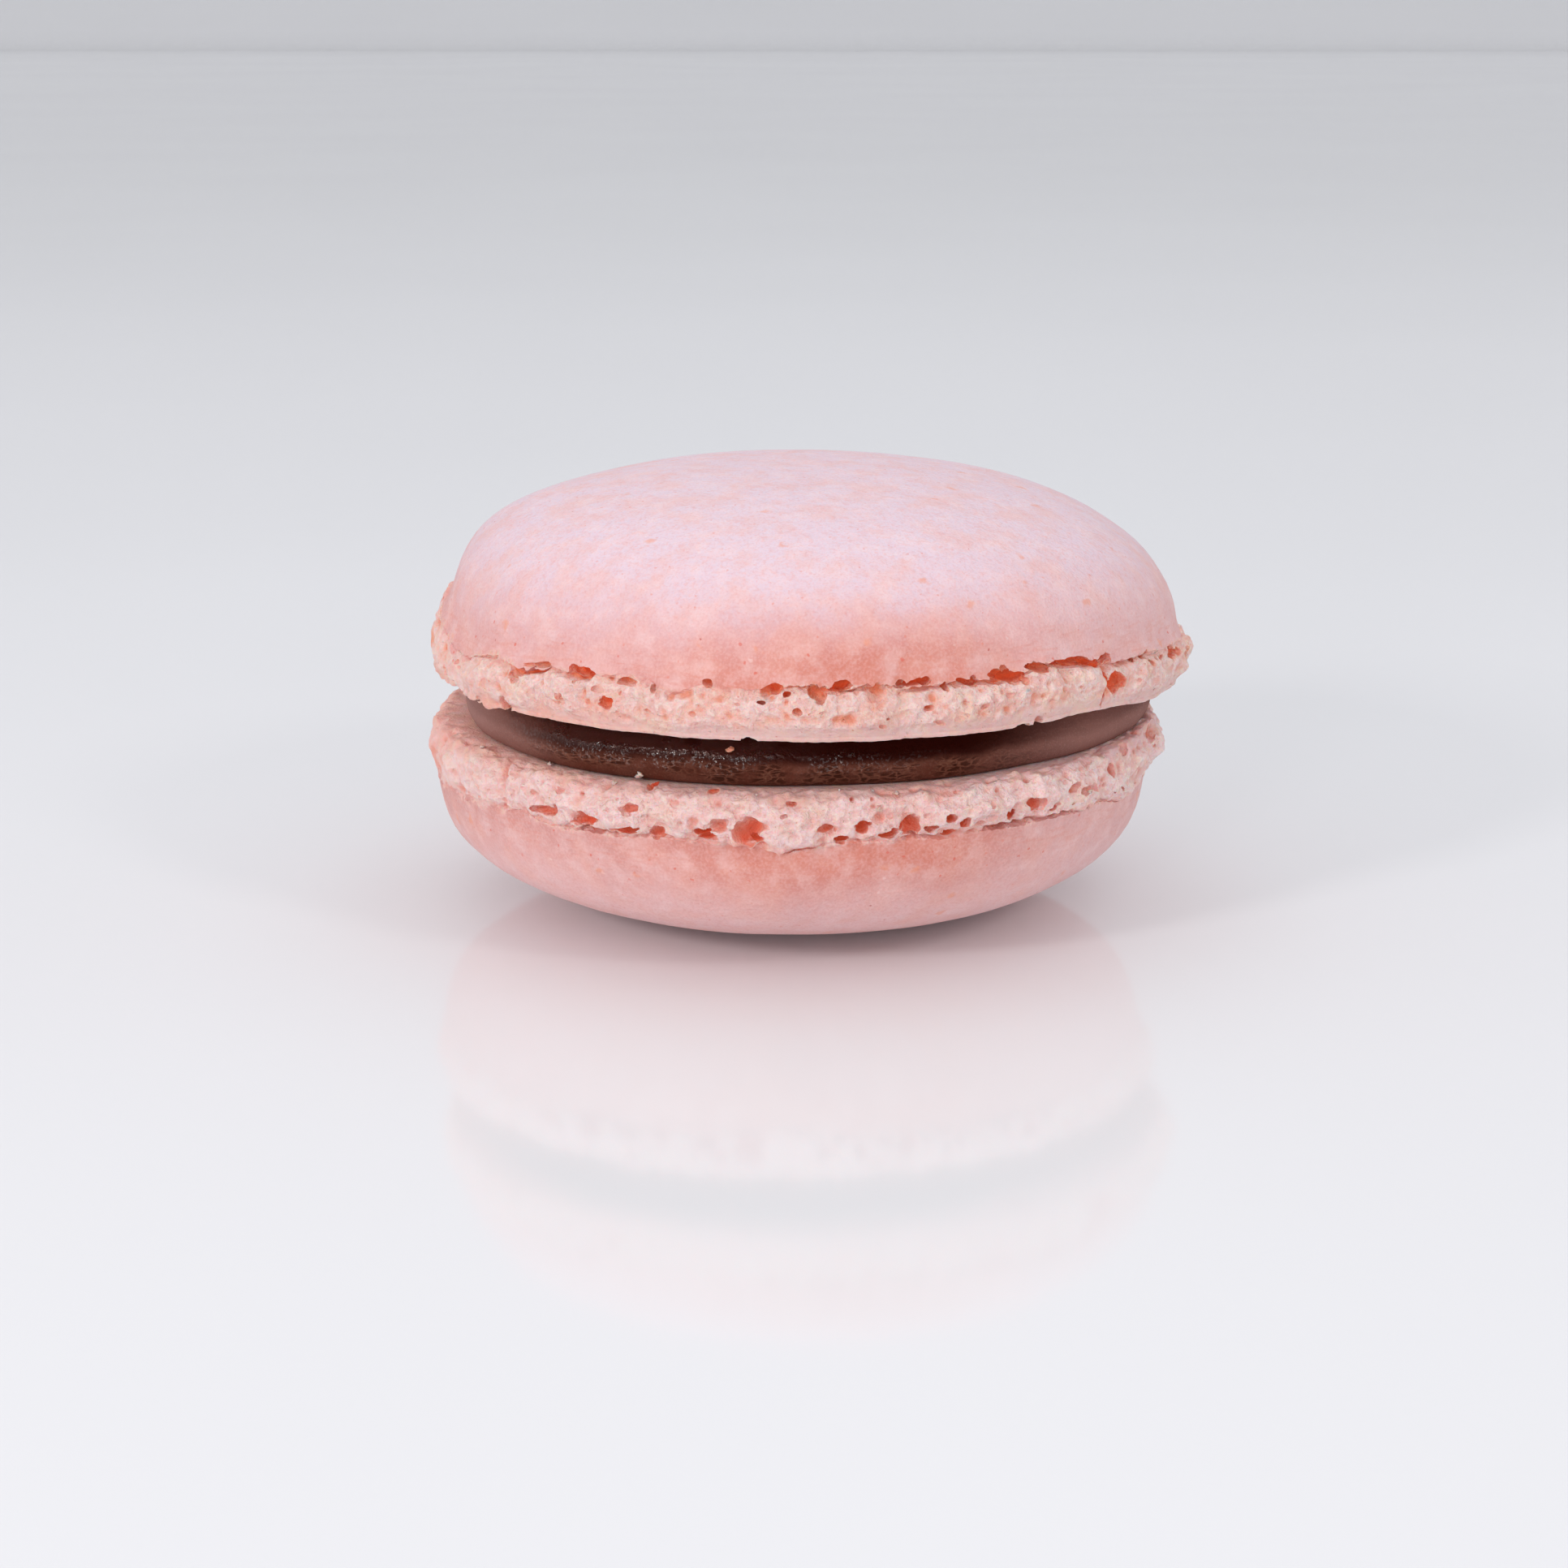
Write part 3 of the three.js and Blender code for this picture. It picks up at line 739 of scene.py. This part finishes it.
def meringue(name, crust_low, crust_high, crumb_pale, crumb_pink, rim, rim_middle_and_shade, rim_from, reds,
             painted_glow, seed):
    """Baked meringue: a matt eggshell crust and a pale, porous crumb that is painted redder the deeper it
    lies, with a painted glow, both standing in for light scattered through the crumb.
    The rim's colours take over at rim_from millimetres below the crust's edge."""
    made = start_material(name)
    below = Wire.node("ShaderNodeAttribute", {"attribute_name": "below"}, {}, output="Fac")
    depth = Wire.node("ShaderNodeAttribute", {"attribute_name": "depth"}, {}, output="Fac")
    height = Wire.node("ShaderNodeAttribute", {"attribute_name": "height"}, {}, output="Fac")

    broad = grain(5 * MM, detail=2)
    mottle = grain(1.4 * MM, detail=3, roughness=0.6)
    fine = grain(0.35 * MM, detail=2, roughness=0.55)
    almond = grain(0.16 * MM, detail=1)
    tiny = grain(0.17 * MM, detail=2)
    sideways = coordinate("X")
    merging = 0.9 + 2.4 * (1 - between(sideways, -22 * MM, -13 * MM))
    crumb = between(below + merging * (mottle - 0.5), -0.12, 0.14)
    # Up the dome the crust runs from crust_low to crust_high: partly its own tone, partly painted light, a
    # lilac painted reflection of cool light on the upper shell's top and painted shade under the lower
    # shell's foot.
    crust = blend(between(height + 0.25 * (broad - 0.5), -0.05, 0.75), crust_low, crust_high)
    baked = 0.10 + 0.82 * between(sideways, -14 * MM, -1 * MM) * (1 - between(sideways, 6 * MM, 17 * MM))
    streaked = below + 4.5 * (broad - 0.5) + 3.0 * (mottle - 0.5)
    paler = 0.4 * between(sideways, 7 * MM, 17 * MM) * between(below, -6.5, -2.5)
    crust = blend(paler, crust, paint(238, 204, 208))
    crust = blend(baked * between(streaked, -5.4, -0.8), crust, paint(214, 127, 108))
    blotch = grain(2.6 * MM, detail=4, roughness=0.6)
    crust = blend(0.42 * between(blotch, 0.42, 0.68), crust, paint(238, 178, 164))
    crust = blend(0.34 * between(mottle, 0.42, 0.72), crust, paint(250, 222, 222))
    flattened = vector_math("MULTIPLY", {0: texture_place(), 1: (1, 1, 7)})
    streaks = between(grain(1.6 * MM, detail=3, place=flattened), 0.50, 0.64)
    crust = blend(0.34 * streaks * between(below, -3.4, -0.8), crust, paint(222, 142, 126))
    crust = blend(0.3 * between(fine, 0.45, 0.75), crust, paint(224, 150, 142))
    crust = blend(0.16 * between(tiny, 0.4, 0.65), crust, paint(250, 214, 212))
    crust = blend(0.16 * between(almond, 0.5, 0.7), crust, paint(214, 134, 126))
    crust = blend(0.5 * spots(0.9 * MM, 0.12, 0.45, seed), crust, paint(226, 132, 112))
    apricot = 0.5 * spots(3.1 * MM, 0.15, 0.8, seed + 5) * between(mottle, 0.4, 0.55)
    crust = blend(apricot, crust, paint(236, 150, 112))
    crust = blend(0.3 * spots(1.7 * MM, 0.10, 0.3, seed + 1), crust, paint(250, 226, 222))
    crust = blend(0.7 * spots(2.4 * MM, 0.035, 0.9, seed + 2), crust, paint(186, 76, 66))
    flecks = spots(1.1 * MM, 0.12, 0.9, seed + 8) * between(below, -3.6, -2.2)
    crust = blend(0.65 * flecks, crust, paint(220, 98, 78))

    calm = 1 - between(sideways, -24 * MM, -18 * MM)
    pale = blend(between(mottle, 0.35, 0.65), crumb_pale, crumb_pink)
    # Painted light on the crumb's relief: whiter where the bump from fine stands up, a painted highlight,
    # and peach where it dips, painted shade.
    pale = blend(0.5 * between(fine, 0.48, 0.60) * (1 - 0.6 * calm), pale, paint(252, 234, 228))
    pale = blend(0.4 * (1 - between(fine, 0.36, 0.46)), pale, paint(236, 172, 154))
    pale = blend(0.34 * between(tiny, 0.5, 0.75), pale, paint(232, 166, 152))
    # The rim's colour round the front is painted light: at the left a painted orange glow of light
    # reflected from the ganache, in the middle rim_middle_and_shade, which on the lower shell is darkened
    # as painted shade under the ganache, and rim at the right.
    rim_glow_and_shade = blend(between(sideways, -18 * MM, -8 * MM), paint(236, 160, 138), rim_middle_and_shade)
    rim_glow_and_shade = blend(between(sideways, 5 * MM, 13 * MM), rim_glow_and_shade, rim)
    pale = blend(0.62 * between(below + 0.9 * (mottle - 0.5), rim_from, rim_from + 0.7), pale, rim_glow_and_shade)
    pale = blend(0.3 * between(grain(1.3 * MM, detail=3), 0.50, 0.66), pale, paint(240, 202, 170))
    pale = blend(0.34 * (1 - between(below + 2.0 * (mottle - 0.5), 0.0, 0.6)), pale, paint(238, 144, 118))
    pale = blend(0.2 * (1 - between(sideways, 6 * MM, 16 * MM)), pale, paint(208, 172, 166))
    # Small dark peach spots: painted shade of tiny pores.
    pale = blend(0.6 * spots(0.45 * MM, 0.16, 0.4, seed + 6), pale, paint(206, 116, 96))
    pale = blend(0.8 * spots(2.9 * MM, 0.022, 0.4, seed + 7), pale, paint(112, 58, 52))
    # Painted light: the deeper a point lies, the redder it is painted, standing in for light scattered
    # through the crumb.
    painted_light_depth = depth + 0.10 * (mottle - 0.5)
    red = Wire.node("ShaderNodeValToRGB", {"stops": reds}, {"Fac": painted_light_depth})
    inner = blend(between(painted_light_depth, 0.02, 0.22), pale, red)

    soft = grain(0.3 * MM, detail=1.5)
    pores = spots(0.42 * MM, 0.30, 0.25, seed + 3)
    pressed = (1 - 0.7 * between(below, rim_from + 0.1, rim_from + 0.6)) * (1 - 0.6 * calm)
    crumb_normal = bumped((fine + 0.3 * soft) * pressed, 0.24 * MM, after=bumped(pores, -0.05 * MM))
    crumb_normal = bumped(almond, 0.05 * MM, after=crumb_normal)
    crust_normal = bumped(fine, 0.03 * MM, after=bumped(mottle, 0.07 * MM))
    crust_normal = bumped(almond, 0.016 * MM, after=crust_normal)
    crust_shader = Wire.node("ShaderNodeBsdfPrincipled", {}, {
        "Base Color": crust,
        "Roughness": 0.42 + 0.16 * broad + 0.08 * fine,
        "Specular IOR Level": 0.42,
        "Subsurface Weight": 0.22,
        "Subsurface Radius": (1.0, 0.45, 0.38),
        "Subsurface Scale": 0.9 * MM,
        "Normal": crust_normal,
    })
    crumb_shader = Wire.node("ShaderNodeBsdfPrincipled", {}, {
        "Base Color": inner,
        "Roughness": 0.44 + 0.3 * fine,
        # The emission is a painted glow, red-orange where the crumb lies deep, standing in for light
        # scattered through it.
        "Emission Color": blend(between(painted_light_depth, 0.16, 0.75), (0, 0, 0, 1), (1.0, 0.20, 0.07, 1)),
        "Emission Strength": painted_glow,
        "Specular IOR Level": 0.5,
        "Subsurface Weight": 0.6,
        "Subsurface Radius": (1.0, 0.28, 0.16),
        "Subsurface Scale": 0.6 * MM,
        "Normal": crumb_normal,
    })
    both = Wire.node("ShaderNodeMixShader", {}, {0: crumb, 1: crust_shader, 2: crumb_shader})
    end_material(both)
    return made


ganache_low, ganache_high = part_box("ganache")
crown_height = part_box("shell_upper")[1].z
across = (ganache_low.x + ganache_high.x) / 2
LOWER_SHIFT = -0.85 * MM
upper_base = crown_height - (FOOT_HEIGHT + upper.dome_height) * MM
lower_base = (FOOT_HEIGHT + lower.dome_height - lower.flat) * MM

upper_turn = Matrix.Translation((across, 0, upper_base)) @ Matrix.Scale(MM, 4)
lower_turn = Matrix.Translation((across + LOWER_SHIFT, 0, lower_base)) @ Matrix.Rotation(math.pi, 4, "Y")
lower_turn = lower_turn @ Matrix.Scale(MM, 4)

upper_shell = bake_shell(upper, upper_turn)
upper_shell.data.materials.clear()
pink = meringue(
    "pink meringue",
    crust_low=paint(225, 167, 163),
    # lilac, partly a painted reflection of the cool light above
    crust_high=paint(229, 206, 219),
    crumb_pale=paint(240, 210, 205),
    crumb_pink=paint(232, 184, 176),
    rim=paint(222, 182, 178),
    rim_middle_and_shade=paint(222, 182, 178),
    rim_from=2.1,
    reds=[
        (0.08, paint(242, 190, 176)), (0.28, paint(232, 140, 108)),
        (0.55, paint(220, 94, 56)), (0.95, paint(186, 44, 24)),
    ],
    painted_glow=0.22,
    seed=1,
)
upper_shell.data.materials.append(pink)
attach(upper_shell, "root")
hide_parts("shell_upper")

lower_shell = bake_shell(lower, lower_turn)
lower_shell.data.materials.clear()
salmon = meringue(
    "salmon meringue",
    # darkened as painted shade under the foot's overhang
    crust_low=paint(212, 152, 146),
    crust_high=paint(246, 204, 204),
    crumb_pale=paint(244, 216, 216),
    crumb_pink=paint(238, 198, 194),
    rim=paint(214, 170, 170),
    # darkened as painted shade on the ledge under the ganache
    rim_middle_and_shade=paint(182, 122, 112),
    rim_from=2.6,
    reds=[
        (0.10, paint(238, 188, 180)), (0.30, paint(228, 146, 128)),
        (0.60, paint(212, 96, 74)), (0.95, paint(190, 40, 26)),
    ],
    painted_glow=0.14,
    seed=21,
)
lower_shell.data.materials.append(salmon)
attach(lower_shell, "root")
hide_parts("shell_lower")


# ---- The ganache ----------------------------------------------------------------------------------
# Dark chocolate and cream, piped on the lower shell as a soft round and pressed out by the upper one
# until it bulges between them. It set with a skin that is taut above, finely wrinkled lower down and
# matt at both ends.
# Its colour carries painted light: shade under the upper lip and in the wrinkles' hollows, highlights on
# their ridges and sheen at the ends.
GANACHE_RADIUS = 22.7  # millimetres, as are its other sizes until it is placed
GANACHE_COLUMNS = 1000
GANACHE_ROWS = 40
ganache_low, ganache_high = [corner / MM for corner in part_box("ganache")]
# spreads: phi and half width in degrees, how far the side stands out there beyond the mean radius.
spreads = [(-45, 18, 0.35), (-84, 14, -0.25), (28, 30, -0.75), (0, 16, -0.2), (75, 14, 0.1)]


def smooth_top(share):
    """1 on the ganache's upper half, where its skin is taut, and 0 lower down, where it is wrinkled."""
    return min(1, max(0, (share - 0.45) / 0.2))


shape = bmesh.new()
along = shape.verts.layers.float.new("along")
places = [-1, -0.6, -0.2] + [row / GANACHE_ROWS for row in range(GANACHE_ROWS + 1)] + [1.2, 1.6, 2]
outline = []
for place in places:
    pole = place in (-1, 2)
    point = shape.verts.new((0 if pole else 1, 0, place))
    point[along] = place
    outline.append(point)
edges = [shape.edges.new(pair) for pair in zip(outline, outline[1:])]
bmesh.ops.spin(shape, geom=outline + edges, cent=(0, 0, 0), axis=(0, 0, 1), angle=TURN,
               steps=GANACHE_COLUMNS, use_merge=True)
bmesh.ops.remove_doubles(shape, verts=shape.verts, dist=1e-6)
for point in shape.verts:
    turned = math.atan2(point.co.x, -point.co.y)
    phi = turned - FRONT_FINENESS * math.sin(turned)
    place = point[along]
    share = min(1, max(0, place))
    bulge = math.sin(math.pi * share ** 0.75) ** 0.8
    rim = GANACHE_RADIUS + 0.1 - (0.7 + 0.6 * share) * (1 - bulge) + 0.12 * wave(phi, (2, 3, 7, 12), 500)
    for middle, half_width, added in spreads:
        rim += added * hump(phi, middle, half_width)
    flat_share = 1 - (max(0, -place) + max(0, place - 1))
    at = polar(rim * flat_share, phi, ganache_low.z + (ganache_high.z - ganache_low.z) * share)
    if 0 < place < 1:
        side = math.sin(math.pi * share)
        wet = min(1, max(0, (math.radians(40) - phi) / 0.4))
        wet *= min(1, max(0, (phi + math.radians(75)) / 0.5))
        taut = smooth_top(share)
        along_rim = phi * GANACHE_RADIUS
        cells = Vector((along_rim / 0.9 + at.z * 0.5, at.z / 0.32, 0))
        wrinkles = (0.07 * noise.noise(cells) + 0.03 * noise.noise(cells * 2.3)) * (1 - 0.8 * taut)
        near = noise.voronoi(Vector((along_rim / 0.6 + at.z * 0.8, at.z / 0.26, 0)))[0]
        wrinkles += 0.03 * max(0, 1 - (near[1] - near[0]) / 0.25) * (1 - taut)
        flutes = 0.05 * noise.noise(Vector((along_rim / 0.5, at.z / 3, 3)))
        ripples = 0.10 * noise.noise(Vector((along_rim / 3.5, at.z / 2.6, 7)))
        at += polar(1, phi, 0) * side * (wet * wrinkles * min(1, 1.6 * side) + (1 - wet) * flutes + ripples)
    at.x += across / MM
    point.co = at * MM
bmesh.ops.recalc_face_normals(shape, faces=shape.faces)
for face in shape.faces:
    face.smooth = True
ganache_mesh = bpy.data.meshes.new("chocolate_ganache")
shape.to_mesh(ganache_mesh)
shape.free()
ganache = bpy.data.objects.new("chocolate_ganache", ganache_mesh)
bpy.context.scene.collection.objects.link(ganache)

chocolate = start_material("dark chocolate ganache")
clouds = grain(2.5 * MM, detail=2)
wrinkle = grain(0.45 * MM, detail=2, distortion=0.5)
speck = grain(0.13 * MM, detail=1)
sideways = coordinate("X")
upwards = coordinate("Z")
matt_and_sheen = between(sideways, 9 * MM, 19 * MM) + (1 - between(sideways, -20.5 * MM, -14 * MM))
stretched = vector_math("MULTIPLY", {0: texture_place(), 1: (1, 1, 2.6)})
swirl_sockets = {"Vector": stretched, "Scale": 1 / (1.2 * MM), "Detail": 2.0}
swirl = Wire.node("ShaderNodeTexNoise", {}, swirl_sockets, output="Color")
swirled = vector_math("SCALE", {0: swirl, "Scale": 1.3 * MM})
bent = vector_math("ADD", {0: stretched, 1: swirled})
wall_sockets = {"Vector": bent, "Scale": 1 / (0.75 * MM)}
walls = Wire.node("ShaderNodeTexVoronoi", {"feature": "DISTANCE_TO_EDGE"}, wall_sockets)
level = upwards + 0.8 * MM * (clouds - 0.5)
hem = level - 0.6 * MM * (1 - between(sideways, -8 * MM, -4 * MM))
wrinkled = (1 - between(level, 14.0 * MM, 14.5 * MM)) * (1 - matt_and_sheen) * between(hem, 12.6 * MM, 13.1 * MM)
patchy = wrinkled * between(grain(2.2 * MM, detail=2), 0.34, 0.54)
shaded_hollows = between(walls, 0.06, 0.22) * patchy
cocoa = blend(between(clouds, 0.3, 0.7), paint(90, 47, 36), paint(106, 62, 50))
cocoa = blend(0.35 * between(speck, 0.5, 0.8), cocoa, paint(128, 88, 74))
# Painted light on the wrinkles: lighter ridge lines between the cells, a painted highlight, and dark cells,
# painted shade in the hollows.
cocoa = blend(0.28 * patchy * (1 - between(walls, 0.02, 0.08)), cocoa, paint(134, 96, 76))
cocoa = blend(0.72 * shaded_hollows, cocoa, paint(50, 22, 12))
# The ends are painted a lighter grey, partly a matt skin and partly painted sheen, lightest at the left tip
# and with pale specks.
cocoa = blend(0.75 * matt_and_sheen, cocoa, paint(158, 115, 107))
cocoa = blend(0.35 * (1 - between(sideways, -23 * MM, -19 * MM)), cocoa, paint(196, 158, 154))
cocoa = blend(0.16 * matt_and_sheen * between(speck, 0.5, 0.75), cocoa, paint(188, 150, 142))
# Painted shade: the upper part of the side, under the upper shell's lip, is painted near black, less so at
# the matt ends.
cocoa = blend(between(level, 13.9 * MM, 14.6 * MM) * (1 - 0.8 * matt_and_sheen), cocoa, paint(46, 12, 7))
puckered = between(level, 13.3 * MM, 13.8 * MM) * (1 - between(level, 14.7 * MM, 15.2 * MM)) * (1 - matt_and_sheen)
lit_side = between(sideways, -20 * MM, -14 * MM) * (1 - between(sideways, -4 * MM, 3 * MM))
sheen = between(level, 14.3 * MM, 14.8 * MM) * (1 - between(level, 15.5 * MM, 15.9 * MM)) * lit_side
sheen = sheen * between(grain(1.6 * MM, detail=2), 0.28, 0.46)
drops = between(grain(0.17 * MM, detail=1), 0.56, 0.60) * puckered
wet = drops * (1 - between(sideways, 0 * MM, 10 * MM)) * between(grain(2.4 * MM, detail=1), 0.36, 0.50)
coarse = bumped(wrinkle * puckered, 0.16 * MM, after=bumped(shaded_hollows, -0.03 * MM))
skin = bumped(speck, 0.034 * MM, after=coarse)
dry_shader = Wire.node("ShaderNodeBsdfPrincipled", {}, {
    "Base Color": cocoa,
    "Roughness": 0.3 + 0.12 * between(clouds, 0.35, 0.65) + 0.3 * matt_and_sheen,
    "Specular IOR Level": 0.02,
    "Normal": skin,
})
satin_shader = Wire.node("ShaderNodeBsdfPrincipled", {}, {
    "Base Color": cocoa,
    "Roughness": 0.18 + 0.12 * clouds,
    "Specular IOR Level": 0.5,
    "Specular Tint": (1.0, 0.72, 0.66, 1.0),
    "Normal": skin,
})
wet_shader = Wire.node("ShaderNodeBsdfPrincipled", {}, {
    "Base Color": cocoa,
    "Roughness": 0.08 + 0.06 * clouds,
    "Specular IOR Level": 0.65,
    "Normal": skin,
})
dressed = Wire.node("ShaderNodeMixShader", {}, {0: sheen, 1: dry_shader, 2: satin_shader})
end_material(Wire.node("ShaderNodeMixShader", {}, {0: wet, 1: dressed, 2: wet_shader}))
ganache.data.materials.append(chocolate)
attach(ganache, "root")
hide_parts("ganache")


# ---- The crumbs -----------------------------------------------------------------------------------
# A few crumbs of meringue that broke off the feet. Two stuck to the ganache's side while it was soft,
# one under the upper lip and one at its foot, and the rest lie on the lower shell's ledge.
# on the ganache: phi in degrees, height above the table and size across in millimetres.
stuck = [(-11.8, 15.1, 0.45), (-26.4, 13.1, 0.44)]
CRUMBS_ON_LEDGE = 9
LEDGE_RADIUS = (22.9, 23.9)  # millimetres, the strip of the base that the ganache leaves bare
LEDGE_SPAN = (-62, 55)  # degrees round from the front
LEDGE_SIZES = (0.16, 0.34)  # millimetres across


def surface_of(piece):
    """The piece's faces, for a ray to meet."""
    points = [point.co.copy() for point in piece.data.vertices]
    faces = [tuple(face.vertices) for face in piece.data.polygons]
    return BVHTree.FromPolygons(points, faces)


draw = random.Random(5)
ganache_surface = surface_of(ganache)
lower_surface = surface_of(lower_shell)
resting = []
for degrees, height, size in stuck:
    away = polar(1, math.radians(degrees), 0)
    start = polar(40, math.radians(degrees), height) * MM
    hit = ganache_surface.ray_cast(start, -away)[0]
    resting.append((hit + away * 0.3 * size * MM, size))
for _ in range(CRUMBS_ON_LEDGE):
    phi = math.radians(draw.uniform(*LEDGE_SPAN))
    size = draw.uniform(*LEDGE_SIZES)
    start = polar(draw.uniform(*LEDGE_RADIUS), phi, 15.5) * MM + Vector((across, 0, 0))
    hit = lower_surface.ray_cast(start, Vector((0, 0, -1)))[0]
    resting.append((hit + Vector((0, 0, 0.3 * size * MM)), size))

shape = bmesh.new()
below = shape.verts.layers.float.new("below")
depth = shape.verts.layers.float.new("depth")
shape.verts.layers.float.new("height")
for middle, size in resting:
    made = bmesh.ops.create_icosphere(shape, subdivisions=2, radius=size * MM / 2,
                                      matrix=Matrix.Translation(middle))["verts"]
    stretch = Vector((draw.uniform(0.8, 1.2), draw.uniform(0.8, 1.1), draw.uniform(0.6, 0.9)))
    for point in made:
        away = (point.co - middle) * stretch
        point.co = middle + away * (1 + 1.5 * noise.noise(point.co / (0.36 * size * MM)))
        point[below] = 1.0
        # The crumb under the upper lip gets more of the painted red and glow of scattered light than the
        # rest.
        point[depth] = 0.25 if middle is resting[0][0] else 0.05
bmesh.ops.recalc_face_normals(shape, faces=shape.faces)
for face in shape.faces:
    face.smooth = True
crumbs_mesh = bpy.data.meshes.new("loose_crumbs")
shape.to_mesh(crumbs_mesh)
shape.free()
crumbs = bpy.data.objects.new("loose_crumbs", crumbs_mesh)
bpy.context.scene.collection.objects.link(crumbs)
crumbs.data.materials.append(pink)
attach(crumbs, "root")
